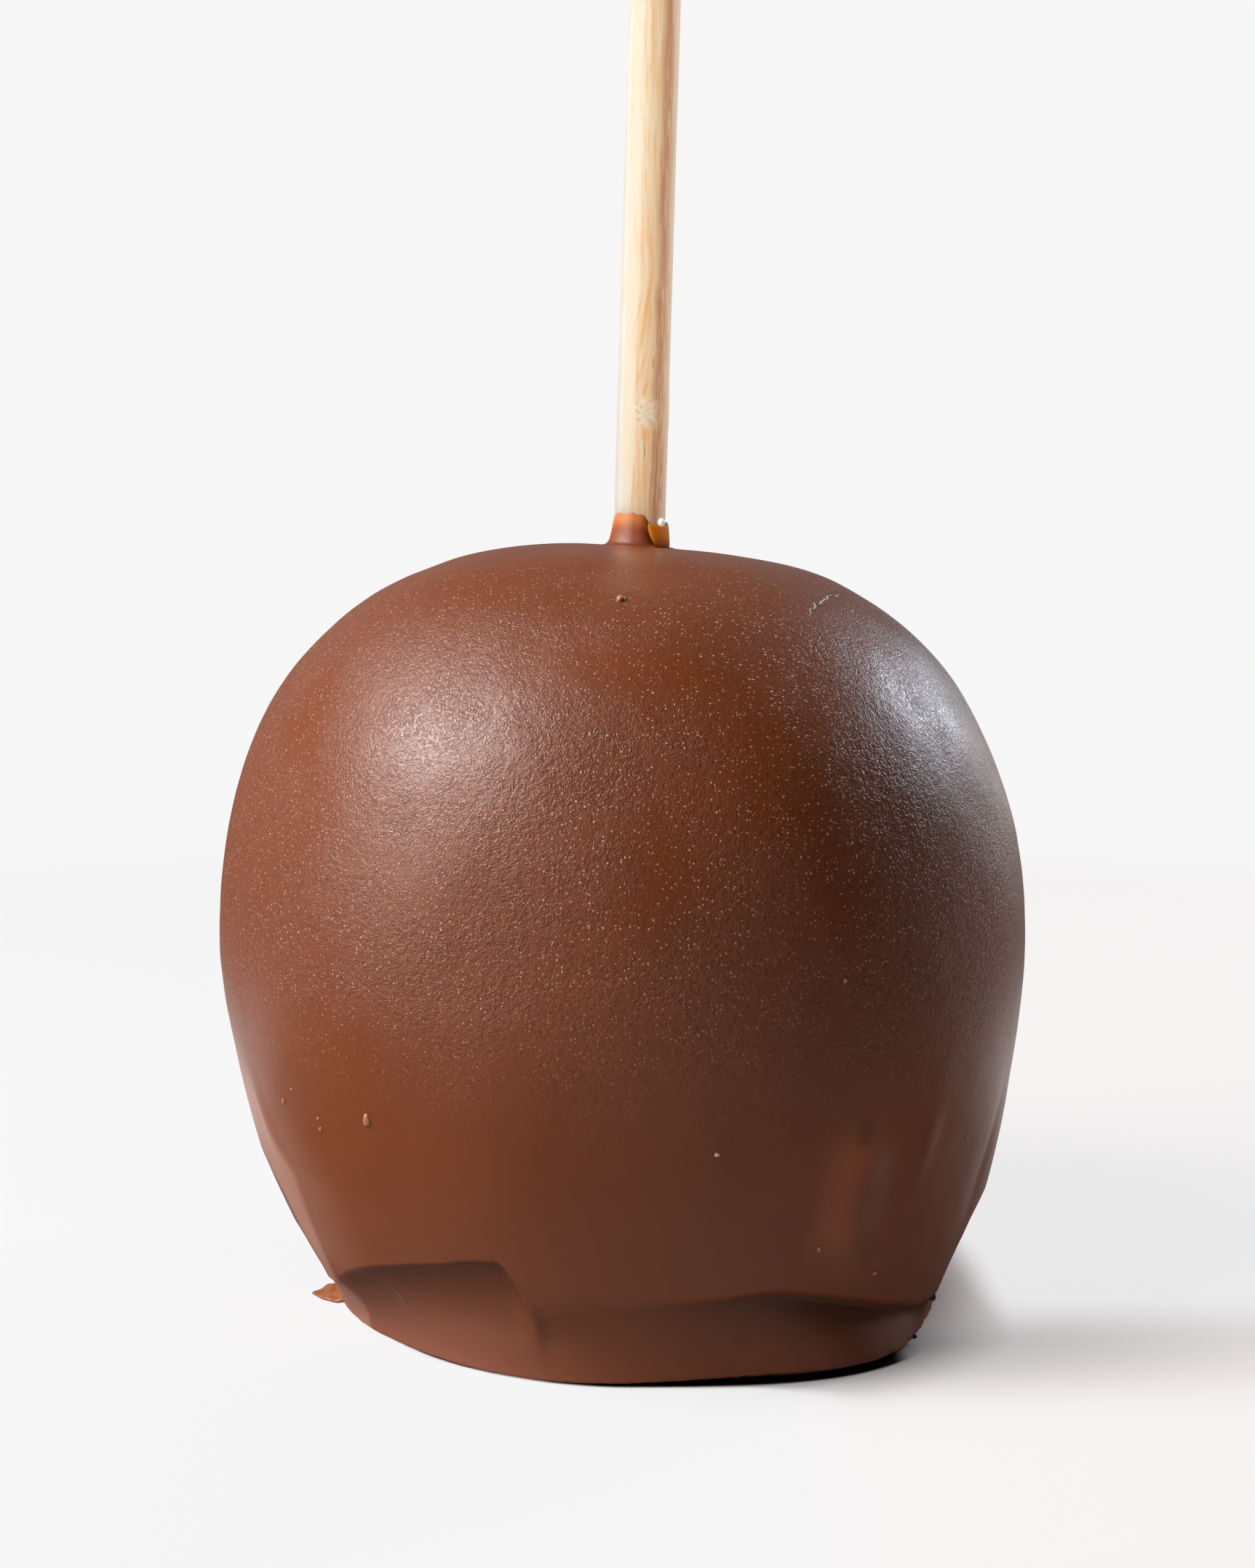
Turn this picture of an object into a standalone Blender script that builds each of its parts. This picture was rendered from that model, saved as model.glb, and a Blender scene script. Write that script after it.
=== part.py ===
"""A caramel apple on a bamboo stick, dipped in milk chocolate and set on its own flat foot.

The apple stands on z = 0 with its widest belt centred on the origin. Shapes are worked out
in millimetres and written in metres. Angles run anticlockwise seen from above: 0 is the
apple's right flank, 180 its left flank and 270 its front.
"""
import bmesh
import bpy
import numpy as np

MM = 0.001

# The coated apple: a superellipse dome above the belt and a power curve below it
BELT_RADIUS = 46.6
BELT_HEIGHT = 42.0
DOME_HEIGHT = 45.15
DOME_TILT = 0.36          # the left shoulder stands this much higher than the middle
TILT_REACH = 8.0
DOME_POWER = 2.135        # roundness of the dome in height
DOME_POWER_SWAY = 0.075
BELT_POWER = 2.715        # roundness of the dome in plan
TAPER_POWER = 1.73        # how late the sides draw in below the belt
TAPER_MEAN = 10.44        # how far they draw in at the table, as a mean and three sways
TAPER_SIDE = -1.745
TAPER_FRONT = -0.9
TAPER_OVAL = -0.86
LOBE_DEPTH = 0.3          # the apple's five faint lobes show through the coat
LOBES = 5
DIMPLE_DEPTH = 0.8
DIMPLE_RADIUS = 5.0

# The foot, where the coat pooled and set against the tray it stood on
FOOT_RADIUS = 35.0
FOOT_SWAY = 2.0           # it sits off centre, towards the right front
FOOT_SWAY_ANGLE = 330.0
FOOT_CORNERS = ((311.0, 18.0, 3.8), (228.0, 21.0, -1.0))   # angle, width, reach
CONTACT_INSET = 3.0       # the flat underside ends this far inside the rim
UNDERSIDE_MIDDLE = (0.4, 0.5)   # a ring between the two: share of the inset, share of the lift
RIM_LIFT = 0.12           # the rim curls off the table, most at the right front
RIM_CURL = 0.85
RIM_CURL_ANGLE = 298.0
RIM_CURL_WIDTH = 38.0
RIM_THICKNESS = 0.35
WALL_CURVE = 1.5
WALL_STEPS = 4
LIP_ROUND = 0.9           # height of the rounded underside of the lip
LIP_MIDDLE = (0.35, 0.3)  # a ring half way round it: share of its height, share of the overhang

# The lip, where the coat of the apple overhangs the foot: angle, height, overhang
LIP_STATIONS = (
    (0.0, 4.2, 0.2),
    (60.0, 7.5, 0.5),
    (130.0, 9.5, 0.6),
    (190.0, 6.8, 0.1),
    (211.0, 6.4, 0.0),
    (220.0, 9.0, 0.6),
    (234.0, 12.0, 0.65),
    (249.0, 14.3, 0.8),
    (256.5, 9.2, 0.3),
    (268.0, 9.8, 0.2),
    (280.0, 9.9, 0.5),
    (292.0, 10.0, 0.9),
    (309.0, 7.3, 0.7),
    (328.0, 4.2, 0.2),
)

# Flats pressed into the flanks: direction, distance from the axis at the table, flare with height
FLATS = (
    (344.5, 36.5, 0.433),
    (197.8, 34.1, 0.437),
)

# Folds and dents in the coat: angle, height, half width, half length, slant in degrees
# for each millimetre of height, and depth (inwards is minus)
FOLDS = (
    (306.0, 22.0, 3.4, 7.0, 0.0, -0.60),
    (315.0, 23.0, 1.8, 6.0, 0.3, 0.30),
    (338.0, 20.0, 1.6, 6.0, 0.3, -0.30),
    (209.0, 21.0, 1.9, 7.5, -0.42, 0.35),
    (255.0, 8.0, 1.5, 4.5, -0.9, 0.50),
    (314.0, 3.5, 8.5, 4.5, 0.0, 1.20),
)

# The bamboo stick leans a little to the right
STICK_RADIUS = 3.0
STICK_TOP_RADIUS = 2.88
STICK_LENGTH = 150.0
STICK_DEPTH = 65.0        # how far it is pushed into the apple
STICK_LEAN = 0.029        # rise over run
STICK_X = 1.87            # where its axis passes the shoulder
SHOULDER_HEIGHT = 87.0
KNOT_HEIGHT = 102.0       # a node of the bamboo
KNOT_SWELL = 0.10
KNOT_LENGTH = 2.0
KNOT_REACH = 2.0          # its rings run this many lengths up and down
KNOT_RINGS = 9
END_BEVEL = 0.35
GAP = 0.3                 # clearance between neighbouring pieces

# The coat climbs the stick as a sleeve: angle, height of the sleeve
SLEEVE_STATIONS = (
    (106.0, 0.1),
    (124.0, 3.4),
    (180.0, 4.3),
    (240.0, 4.5),
    (282.0, 4.3),
    (308.0, 0.1),
)
# Its section from the dimple inwards: distance from the stick's axis, share of its height
SLEEVE_SECTION = ((7.2, 0.0), (5.6, 0.05), (4.7, 0.2), (4.2, 0.5), (3.85, 0.85), (3.58, 1.0))

# Caramel squeezed out beside the sleeve
CARAMEL_START = -46.0     # at its base; its top reaches further round, beside the sleeve
CARAMEL_START_TOP = -60.0
CARAMEL_END = 100.0
CARAMEL_HEIGHT = 2.4
CARAMEL_BASE_WALL = 0.95
CARAMEL_TOP_WALL = 0.5
CARAMEL_SEAT = 0.4        # it stops this far over the coat
CARAMEL_END_SHARE = 0.04  # its ends taper as sine to a power, cut off this early
CARAMEL_END_POWER = 0.25
CARAMEL_STEPS = 26
# Its section: share of the wall outwards, share of the height
CARAMEL_SECTION = ((0.0, 0.0), (0.0, 1.0), (0.5, 1.04), (1.0, 0.9), (1.0, 0.45), (1.0, 0.0), (0.5, 0.0))

COLUMNS = 116             # points round the apple, closer together at its front
FRONT_CROWDING = 0.35
BODY_ROWS = 12
DOME_ROWS = 15
ROW_CROWDING = 1.15       # rows stand a little closer above the lip
CENTRING_START = 0.75     # the dome's rings shift towards the stick inside this share of the belt
STICK_SIDES = 24
SHARP_ANGLE = 50.0        # edges that fold more than this are drawn sharp


def smoothstep(low, high, value):
    t = np.clip((value - low) / (high - low), 0.0, 1.0)
    return t * t * (3.0 - 2.0 * t)


def around(theta, stations, column):
    """Eases from one station to the next round the full circle."""
    angles = [s[0] for s in stations]
    values = [s[column] for s in stations]
    angles = np.array(angles + [angles[0] + 360.0])
    values = np.array(values + [values[0]])
    turned = (np.degrees(theta) - angles[0]) % 360.0 + angles[0]
    i = np.clip(np.searchsorted(angles, turned, side="right") - 1, 0, len(stations) - 1)
    share = smoothstep(angles[i], angles[i + 1], turned)
    return values[i] + (values[i + 1] - values[i]) * share


def turn_between(theta, degrees):
    """The signed angle from a given direction, in degrees."""
    return (np.degrees(theta) - degrees + 180.0) % 360.0 - 180.0


def folds(theta, z):
    """Radial relief of the coat: a sum of soft dents and ridges."""
    relief = np.zeros_like(theta)
    for angle, height, half_width, half_length, slant, depth in FOLDS:
        off = turn_between(theta, angle + slant * (z - height))
        across = np.radians(off) * BELT_RADIUS / half_width
        along = (z - height) / half_length
        relief = relief + depth * np.exp(-across**2 - along**2)
    return relief


def belt(theta, z):
    """The belt's radius less the faint lobes, which fade towards the foot and the four sides."""
    lobes = 0.5 * (1.0 - np.sin(LOBES * theta)) * np.sin(2.0 * theta)**2
    return BELT_RADIUS - LOBE_DEPTH * lobes * z / BELT_HEIGHT


def flank(theta, z):
    """Radius of the coat below the belt: it draws in by a power of the depth below the belt."""
    draw = (TAPER_MEAN + TAPER_SIDE * np.cos(theta) + TAPER_FRONT * np.sin(theta)
            + TAPER_OVAL * np.cos(2.0 * theta))
    depth = np.clip((BELT_HEIGHT - z) / BELT_HEIGHT, 0.0, 1.0)
    radius = belt(theta, z) - draw * depth**TAPER_POWER + folds(theta, z)
    for direction, distance, flare in FLATS:
        facing = np.maximum(np.cos(np.radians(turn_between(theta, direction))), 0.1)
        radius = np.minimum(radius, (distance + flare * z) / facing)
    return radius


def crown(x, y):
    """Height of the coat above the belt at a point in plan, with the dimple round the stick."""
    radius = np.hypot(x, y)
    theta = np.arctan2(y, x)
    power = DOME_POWER - DOME_POWER_SWAY * np.cos(theta)
    share = np.clip(radius / belt(theta, np.full_like(radius, BELT_HEIGHT)), 0.0, 1.0)
    rise = (1.0 - share**BELT_POWER) ** (1.0 / power)
    tilt = DOME_TILT * np.cos(theta) * np.tanh(radius / TILT_REACH)
    dimple = DIMPLE_DEPTH * np.exp(-((x - STICK_X)**2 + y**2) / DIMPLE_RADIUS**2)
    return BELT_HEIGHT + (DOME_HEIGHT - tilt) * rise - dimple


def rim(theta):
    """Radius of the foot's rim."""
    radius = FOOT_RADIUS + FOOT_SWAY * np.cos(np.radians(turn_between(theta, FOOT_SWAY_ANGLE)))
    for angle, width, reach in FOOT_CORNERS:
        radius = radius + reach * np.exp(-(turn_between(theta, angle) / width)**2)
    return radius


def lift(theta):
    """Height of the rim's edge over the table."""
    return RIM_LIFT + RIM_CURL * np.exp(-(turn_between(theta, RIM_CURL_ANGLE) / RIM_CURL_WIDTH)**2)


def stick_x(z):
    """The stick's axis leans towards +X."""
    return STICK_X + (z - SHOULDER_HEIGHT) * STICK_LEAN


def ring(x, y, z):
    return np.stack((x, y, np.broadcast_to(z, x.shape)), axis=-1)


def polar_ring(theta, radius, z, centre=0.0):
    return ring(centre + radius * np.cos(theta), radius * np.sin(theta), z)


def foot_rings(theta):
    """From the flat underside over the curled rim and up the foot's wall to the lip."""
    edge = rim(theta)
    low = lift(theta)
    lip = around(theta, LIP_STATIONS, 1)
    overhang = around(theta, LIP_STATIONS, 2)
    start = low + RIM_THICKNESS
    end = lip - LIP_ROUND
    top = flank(theta, end) - overhang
    rings = [polar_ring(theta, edge - CONTACT_INSET, 0.0),
             polar_ring(theta, edge - CONTACT_INSET * UNDERSIDE_MIDDLE[0], low * UNDERSIDE_MIDDLE[1]),
             polar_ring(theta, edge - RIM_THICKNESS, low)]
    for share in np.linspace(0.0, 1.0, WALL_STEPS + 1):
        radius = edge + (top - edge) * share**WALL_CURVE
        rings.append(polar_ring(theta, radius, start + (end - start) * share))
    under = lip - LIP_MIDDLE[0] * LIP_ROUND
    rings.append(polar_ring(theta, flank(theta, under) - LIP_MIDDLE[1] * overhang, under))
    return rings


def body_rings(theta):
    """From the lip to the belt, then over the dome to the dimple."""
    lip = around(theta, LIP_STATIONS, 1)
    rings = []
    for row in range(BODY_ROWS):
        z = lip + (BELT_HEIGHT - lip) * (row / BODY_ROWS)**ROW_CROWDING
        rings.append(polar_ring(theta, flank(theta, z), z))
    last = SLEEVE_SECTION[0][0]
    steepest = np.arccos((last / BELT_RADIUS)**(BELT_POWER / 2.0))
    for row in range(DOME_ROWS):
        rise = steepest * row / DOME_ROWS
        radius = belt(theta, np.full_like(theta, BELT_HEIGHT)) * np.cos(rise)**(2.0 / BELT_POWER)
        centre = STICK_X * (1.0 - smoothstep(last, CENTRING_START * BELT_RADIUS, radius))
        x = centre + radius * np.cos(theta)
        y = radius * np.sin(theta)
        rings.append(ring(x, y, crown(x, y)))
    return rings


def sleeve_rings(theta):
    """From the dimple up the sleeve round the stick, and down the socket to its floor."""
    sleeve = around(theta, SLEEVE_STATIONS, 1)
    rings = []
    for distance, share in SLEEVE_SECTION:
        x = STICK_X + distance * np.cos(theta)
        y = distance * np.sin(theta)
        z = crown(x, y) + sleeve * share
        rings.append(ring(x + (z - SHOULDER_HEIGHT) * STICK_LEAN, y, z))
    bore = STICK_RADIUS + GAP
    z = crown(STICK_X + bore * np.cos(theta), bore * np.sin(theta)) + sleeve
    floor = SHOULDER_HEIGHT - STICK_DEPTH - GAP
    for height in (z, np.full_like(theta, floor)):
        rings.append(ring(stick_x(height) + bore * np.cos(theta), bore * np.sin(theta), height))
    return rings


def coated_apple():
    spread = np.linspace(0.0, 2.0 * np.pi, COLUMNS, endpoint=False)
    theta = spread - FRONT_CROWDING * np.cos(spread)
    return foot_rings(theta) + body_rings(theta) + sleeve_rings(theta)


def stick():
    """A round of bamboo swelling at its node, with eased ends."""
    bottom = SHOULDER_HEIGHT - STICK_DEPTH
    top = bottom + STICK_LENGTH
    theta = np.linspace(0.0, 2.0 * np.pi, STICK_SIDES, endpoint=False)
    knot = KNOT_HEIGHT + KNOT_LENGTH * np.linspace(-KNOT_REACH, KNOT_REACH, KNOT_RINGS)
    heights = [bottom, bottom + END_BEVEL, SHOULDER_HEIGHT, *knot, top - END_BEVEL, top]
    rings = []
    for z in heights:
        share = (z - bottom) / STICK_LENGTH
        radius = STICK_RADIUS + (STICK_TOP_RADIUS - STICK_RADIUS) * share
        radius += KNOT_SWELL * np.exp(-((z - KNOT_HEIGHT) / KNOT_LENGTH)**2)
        if z in (bottom, top):
            radius -= END_BEVEL
        rings.append(polar_ring(theta, radius, z, stick_x(z)))
    return rings


def caramel_collar():
    """Sections of a thick bead, each a closed loop, swept round the stick beside the sleeve."""
    inner = STICK_RADIUS + GAP
    sections = []
    for share in np.linspace(0.0, 1.0, CARAMEL_STEPS + 1):
        inside = np.clip(share, CARAMEL_END_SHARE, 1.0 - CARAMEL_END_SHARE)
        fullness = np.sin(np.pi * inside)**CARAMEL_END_POWER
        loop = []
        for out, up in CARAMEL_SECTION:
            angle = np.radians(CARAMEL_START + (CARAMEL_START_TOP - CARAMEL_START) * up * (1.0 - share)
                               + (CARAMEL_END - CARAMEL_START) * share)
            wall = CARAMEL_BASE_WALL + (CARAMEL_TOP_WALL - CARAMEL_BASE_WALL) * up
            distance = inner + wall * out * fullness
            x = STICK_X + distance * np.cos(angle)
            y = distance * np.sin(angle)
            z = crown(x, y) + CARAMEL_SEAT + CARAMEL_HEIGHT * up * fullness
            loop.append((x + (z - SHOULDER_HEIGHT) * STICK_LEAN, y, z))
        sections.append(np.array(loop))
    return sections


def material(name, colour, roughness):
    made = bpy.data.materials.new(name)
    made.use_nodes = True
    shader = made.node_tree.nodes["Principled BSDF"]
    shader.inputs["Base Color"].default_value = (*colour, 1.0)
    shader.inputs["Roughness"].default_value = roughness
    shader.inputs["Metallic"].default_value = 0.0
    return made


def loft(name, rings, finish):
    """Bridges each ring to the next, closes both ends with one flat face, and adds the object."""
    mesh = bpy.data.meshes.new(name)
    bm = bmesh.new()
    rows = [[bm.verts.new(point * MM) for point in points] for points in rings]
    count = len(rows[0])
    for lower, upper in zip(rows, rows[1:]):
        for i in range(count):
            j = (i + 1) % count
            bm.faces.new((lower[i], lower[j], upper[j], upper[i]))
    bm.faces.new(list(reversed(rows[0])))
    bm.faces.new(rows[-1])
    bmesh.ops.recalc_face_normals(bm, faces=bm.faces)
    bm.to_mesh(mesh)
    bm.free()
    mesh.shade_smooth()
    mesh.set_sharp_from_angle(angle=np.radians(SHARP_ANGLE))
    made = bpy.data.objects.new(name, mesh)
    made.data.materials.append(finish)
    bpy.context.scene.collection.objects.link(made)
    return made


def main():
    for old in list(bpy.data.objects):
        bpy.data.objects.remove(old)
    chocolate = material("milk chocolate", (0.195, 0.065, 0.032), 0.42)
    bamboo = material("bamboo", (0.76, 0.56, 0.33), 0.6)
    caramel = material("caramel", (0.32, 0.11, 0.012), 0.2)
    loft("coated_apple", coated_apple(), chocolate)
    loft("stick", stick(), bamboo)
    loft("caramel_collar", caramel_collar(), caramel)


main()
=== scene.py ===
import math

import bpy
import numpy as np
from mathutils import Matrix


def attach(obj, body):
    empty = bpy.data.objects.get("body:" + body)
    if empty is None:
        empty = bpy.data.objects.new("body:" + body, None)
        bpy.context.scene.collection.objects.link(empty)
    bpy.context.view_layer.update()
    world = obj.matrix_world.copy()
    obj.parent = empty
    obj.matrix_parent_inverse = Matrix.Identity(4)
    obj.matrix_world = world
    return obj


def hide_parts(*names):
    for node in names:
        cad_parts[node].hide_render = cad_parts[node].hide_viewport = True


# A caramel apple dipped in milk chocolate, on a bamboo stick.
# Shapes are worked out in millimetres; angles run anticlockwise seen from above,
# 0 at the right flank, 180 at the left and 270 at the front.
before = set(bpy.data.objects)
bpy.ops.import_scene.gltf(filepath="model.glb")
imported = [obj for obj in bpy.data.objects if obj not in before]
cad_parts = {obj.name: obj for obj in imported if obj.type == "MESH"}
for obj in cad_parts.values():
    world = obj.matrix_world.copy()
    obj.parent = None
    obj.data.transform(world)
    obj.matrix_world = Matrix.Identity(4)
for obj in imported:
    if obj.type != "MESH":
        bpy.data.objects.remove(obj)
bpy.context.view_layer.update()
millimetre = 0.001
print("frame loaded:", ", ".join(sorted(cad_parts)))


# Shader helpers: a socket that Python's operators work on, and a tree that grows its nodes

def mathNode(operation, swapped=False):
    # an operator that adds a Math node to its wire's tree
    def operator(wire, *others):
        terms = (wire, *others)[::-1] if swapped else (wire, *others)
        return wire.graph.add("Math", {"operation": operation}, dict(enumerate(terms)))
    return operator


class Wire:
    def __init__(self, graph, socket):
        self.graph = graph
        self.socket = socket

    __add__ = __radd__ = mathNode("ADD")
    __sub__ = mathNode("SUBTRACT")
    __rsub__ = mathNode("SUBTRACT", swapped=True)
    __mul__ = __rmul__ = mathNode("MULTIPLY")
    __truediv__ = mathNode("DIVIDE")
    __pow__ = mathNode("POWER")
    __abs__ = mathNode("ABSOLUTE")
    largest = mathNode("MAXIMUM")
    smallest = mathNode("MINIMUM")

    def rise(self, low, high):
        # smoothstep from 0 at low to 1 at high
        return self.graph.add("MapRange", {"interpolation_type": "SMOOTHSTEP"},
                              {0: self, 1: low, 2: high})

    def fall(self, low, high):
        return 1.0 - self.rise(low, high)

    def within(self, low, full, fading, gone):
        # 1 in the middle, with a soft edge of its own on each side
        return self.rise(low, full) * self.fall(fading, gone)

    def band(self, low, high, soft):
        # 1 between two values, with the same soft edge on both sides
        return self.within(low - soft, low + soft, high - soft, high + soft)

    def sibling(self, name):
        # another output of the same node
        return Wire(self.graph, self.socket.node.outputs[name])


class Graph:
    def __init__(self, owner):
        # the owner is a new material or world
        self.owner = owner
        owner.use_nodes = True
        self.tree = owner.node_tree
        self.shader = self.tree.nodes.get("Principled BSDF")

    def add(self, kind, settings=None, sockets=None, output=0):
        # any shader node: its settings first, then the values or wires of its sockets
        node = self.tree.nodes.new("ShaderNode" + kind)
        for name, value in (settings or {}).items():
            setattr(node, name, value)
        for name, value in (sockets or {}).items():
            self.fill(node.inputs[name], value)
        return Wire(self, node.outputs[output])

    def fill(self, socket, value):
        if isinstance(value, Wire):
            self.tree.links.new(value.socket, socket)
        elif isinstance(value, tuple) and len(value) == 3 and socket.type == "RGBA":
            socket.default_value = (*value, 1.0)
        else:
            socket.default_value = value

    def finish(self, sockets):
        # fills the Principled shader's sockets
        for name, value in sockets.items():
            self.fill(self.shader.inputs[name], value)
        return self.owner

    def place(self):
        return self.add("TexCoord", output="Object")

    def split(self, vector):
        # x, y and z of a vector, in millimetres
        parts = self.add("SeparateXYZ", sockets={0: vector})
        return [parts.sibling(axis) / millimetre for axis in "XYZ"]

    def join(self, x, y, z):
        return self.add("CombineXYZ", sockets={0: x, 1: y, 2: z})

    def noise(self, vector, scale, detail=2.0, roughness=0.5, distortion=0.0):
        return self.add("TexNoise", None,
                        {"Vector": vector, "Scale": scale, "Detail": detail,
                         "Roughness": roughness, "Distortion": distortion})

    def mix(self, share, first, second):
        return self.add("Mix", {"data_type": "RGBA"}, {0: share, 6: first, 7: second}, 2)

    def cover(self, base, look, layers):
        # each layer lies over the last, as far as its mask and its share in the settings say
        for name, mask in layers:
            share, colour = look[name]
            base = self.mix(mask * share, base, colour)
        return base

    def bump(self, height, distance, strength=1.0):
        return self.add("Bump", None,
                        {"Height": height, "Distance": distance, "Strength": strength})

    def streak(self, x, z, startX, startZ, endX, endZ, width):
        # a fibre from one (x, z) to another: fades over its half width, and at both ends
        slope = (endX - startX) / (endZ - startZ)
        off = abs(x - (z - startZ) * slope - startX) / width
        low, high = sorted((startZ, endZ))
        return off.fall(0.0, 1.2) * z.band(low, high, 0.25 * (high - low))


def mottled(name, look):
    # a small piece's finish: two tones mixed by a cloud, which may raise a bump as well
    graph = Graph(bpy.data.materials.new(name))
    cloud = graph.noise(graph.place(), *look["cloud"])
    share = cloud.rise(*look["contrast"]) if "contrast" in look else cloud
    graph.finish({"Base Color": graph.mix(share, *look["tones"]), "Roughness": look["roughness"]})
    if "relief" in look:
        graph.finish({"Normal": graph.bump(cloud, look["relief"])})
    # a painted glint: the piece glows a little
    if "glint" in look:
        graph.finish({"Emission Color": (1.0, 1.0, 1.0), "Emission Strength": look["glint"]})
    return graph.owner


# Shape helpers, all on whole arrays

def smoothstep(low, high, value):
    # 3t^2 - 2t^3, where t is the clipped share of the way from low to high
    t = np.clip((value - low) / (high - low), 0.0, 1.0)
    return t * t * (3.0 - 2.0 * t)


def fullTurn(count):
    return np.linspace(0.0, 2.0 * np.pi, count, endpoint=False)


def aroundCircle(theta, stations, column):
    # monotone cubic from station to station round the full circle: the slope at a station is the
    # harmonic mean of the slopes on its two sides, or none where they disagree in sign
    table = np.array((*stations, (stations[0][0] + 360.0, *stations[0][1:])))
    angles, values = table[:, 0], table[:, column]
    after = np.diff(values) / np.diff(angles)
    before = np.roll(after, 1)
    slope = np.where(before * after > 0.0, 2.0 * before * after / (before + after + 1e-12), 0.0)
    slope = np.append(slope, slope[0])
    turned = (np.degrees(theta) - angles[0]) % 360.0 + angles[0]
    i = np.clip(np.searchsorted(angles, turned, side="right") - 1, 0, len(stations) - 1)
    width = angles[i + 1] - angles[i]
    t = (turned - angles[i]) / width
    return (values[i] + (values[i + 1] - values[i]) * smoothstep(0.0, 1.0, t)
            + width * (slope[i] * t * (1.0 - t)**2 - slope[i + 1] * t * t * (1.0 - t)))


def turnFrom(theta, degrees):
    # the signed angle from a direction, between -180 and 180 degrees
    return (np.degrees(theta) - degrees + 180.0) % 360.0 - 180.0


def humps(theta, *rows):
    # sum of reach * e^-(turn / width)^2 over rows of direction, width and reach
    return sum(reach * np.exp(-(turnFrom(theta, direction) / width)**2)
               for direction, width, reach in rows)


def ripples(points, seed, count, shortest, longest, stretch=1.0):
    # sum of plane waves sin(k.p + phase): random directions, wave lengths between two limits,
    # scaled so that its spread is about one
    chance = np.random.default_rng(seed)
    heading = chance.normal(size=(count, 3))
    heading /= np.linalg.norm(heading, axis=1, keepdims=True)
    length = np.exp(chance.uniform(np.log(shortest), np.log(longest), (count, 1)))
    wave = 2.0 * np.pi * heading / length / np.array(stretch)
    phase = chance.uniform(0.0, 2.0 * np.pi, count)
    total = np.zeros(points.shape[:-1])
    for k, start in zip(wave, phase):
        total += np.sin(points @ k + start)
    return total / np.sqrt(count / 2.0)


def gridNormals(points):
    # cross product of the steps along a row and up a column; columns close on themselves
    along = np.roll(points, -1, axis=1) - np.roll(points, 1, axis=1)
    up = np.gradient(points, axis=0)
    normal = np.cross(along, up)
    return normal / np.maximum(np.linalg.norm(normal, axis=-1, keepdims=True), 1e-12)


def surfaceMesh(name, patches, finish, closed=True):
    # patches[patch, row, column] are points; vertex (i, j) joins (i, j+1), (i+1, j+1) and
    # (i+1, j). In a closed one the columns meet, and each end gets a fan to its middle
    count, rows, columns = patches.shape[:3]
    corner = np.arange(count * rows * columns).reshape(count, rows, columns)
    ring = np.concatenate((corner, corner[:, :, :1]), axis=2) if closed else corner
    quads = np.stack((ring[:, :-1, :-1], ring[:, :-1, 1:], ring[:, 1:, 1:], ring[:, 1:, :-1]), -1)
    faces = quads.reshape(-1, 4).tolist()
    points = [patches.reshape(-1, 3)]
    if closed:
        start = corner.size
        for row, flip in ((0, True), (rows - 1, False)):
            points.append(patches[:, row].mean(axis=1))
            middle = np.broadcast_to((start + np.arange(count))[:, None], (count, columns))
            a, b = ring[:, row, :-1], ring[:, row, 1:]
            fan = (b, a, middle) if flip else (a, b, middle)
            faces += np.stack(fan, -1).reshape(-1, 3).tolist()
            start += count
    mesh = bpy.data.meshes.new(name)
    mesh.from_pydata((np.concatenate(points) * millimetre).tolist(), [], faces)
    mesh.polygons.foreach_set("use_smooth", np.ones(len(mesh.polygons), bool))
    mesh.update()
    piece = bpy.data.objects.new(name, mesh)
    piece.data.materials.append(finish)
    bpy.context.scene.collection.objects.link(piece)
    return piece


def addShare(piece, name, values):
    # one number for each vertex, read by the material as an attribute
    layer = piece.data.attributes.new(name, "FLOAT", "POINT")
    full = np.zeros(len(piece.data.vertices), np.float32)
    full[:values.size] = values.ravel()
    layer.data.foreach_set("value", full)


def addPiece(name, patches, finish, slotName, *nodes):
    # a piece on the body, with its material and the nodes that it stands for; the slot name is not
    # used
    piece = surfaceMesh(name, patches, finish)
    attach(piece, "root")
    if nodes:
        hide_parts(*nodes)
    print(name + ":", len(piece.data.polygons), "faces")
    return piece


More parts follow.
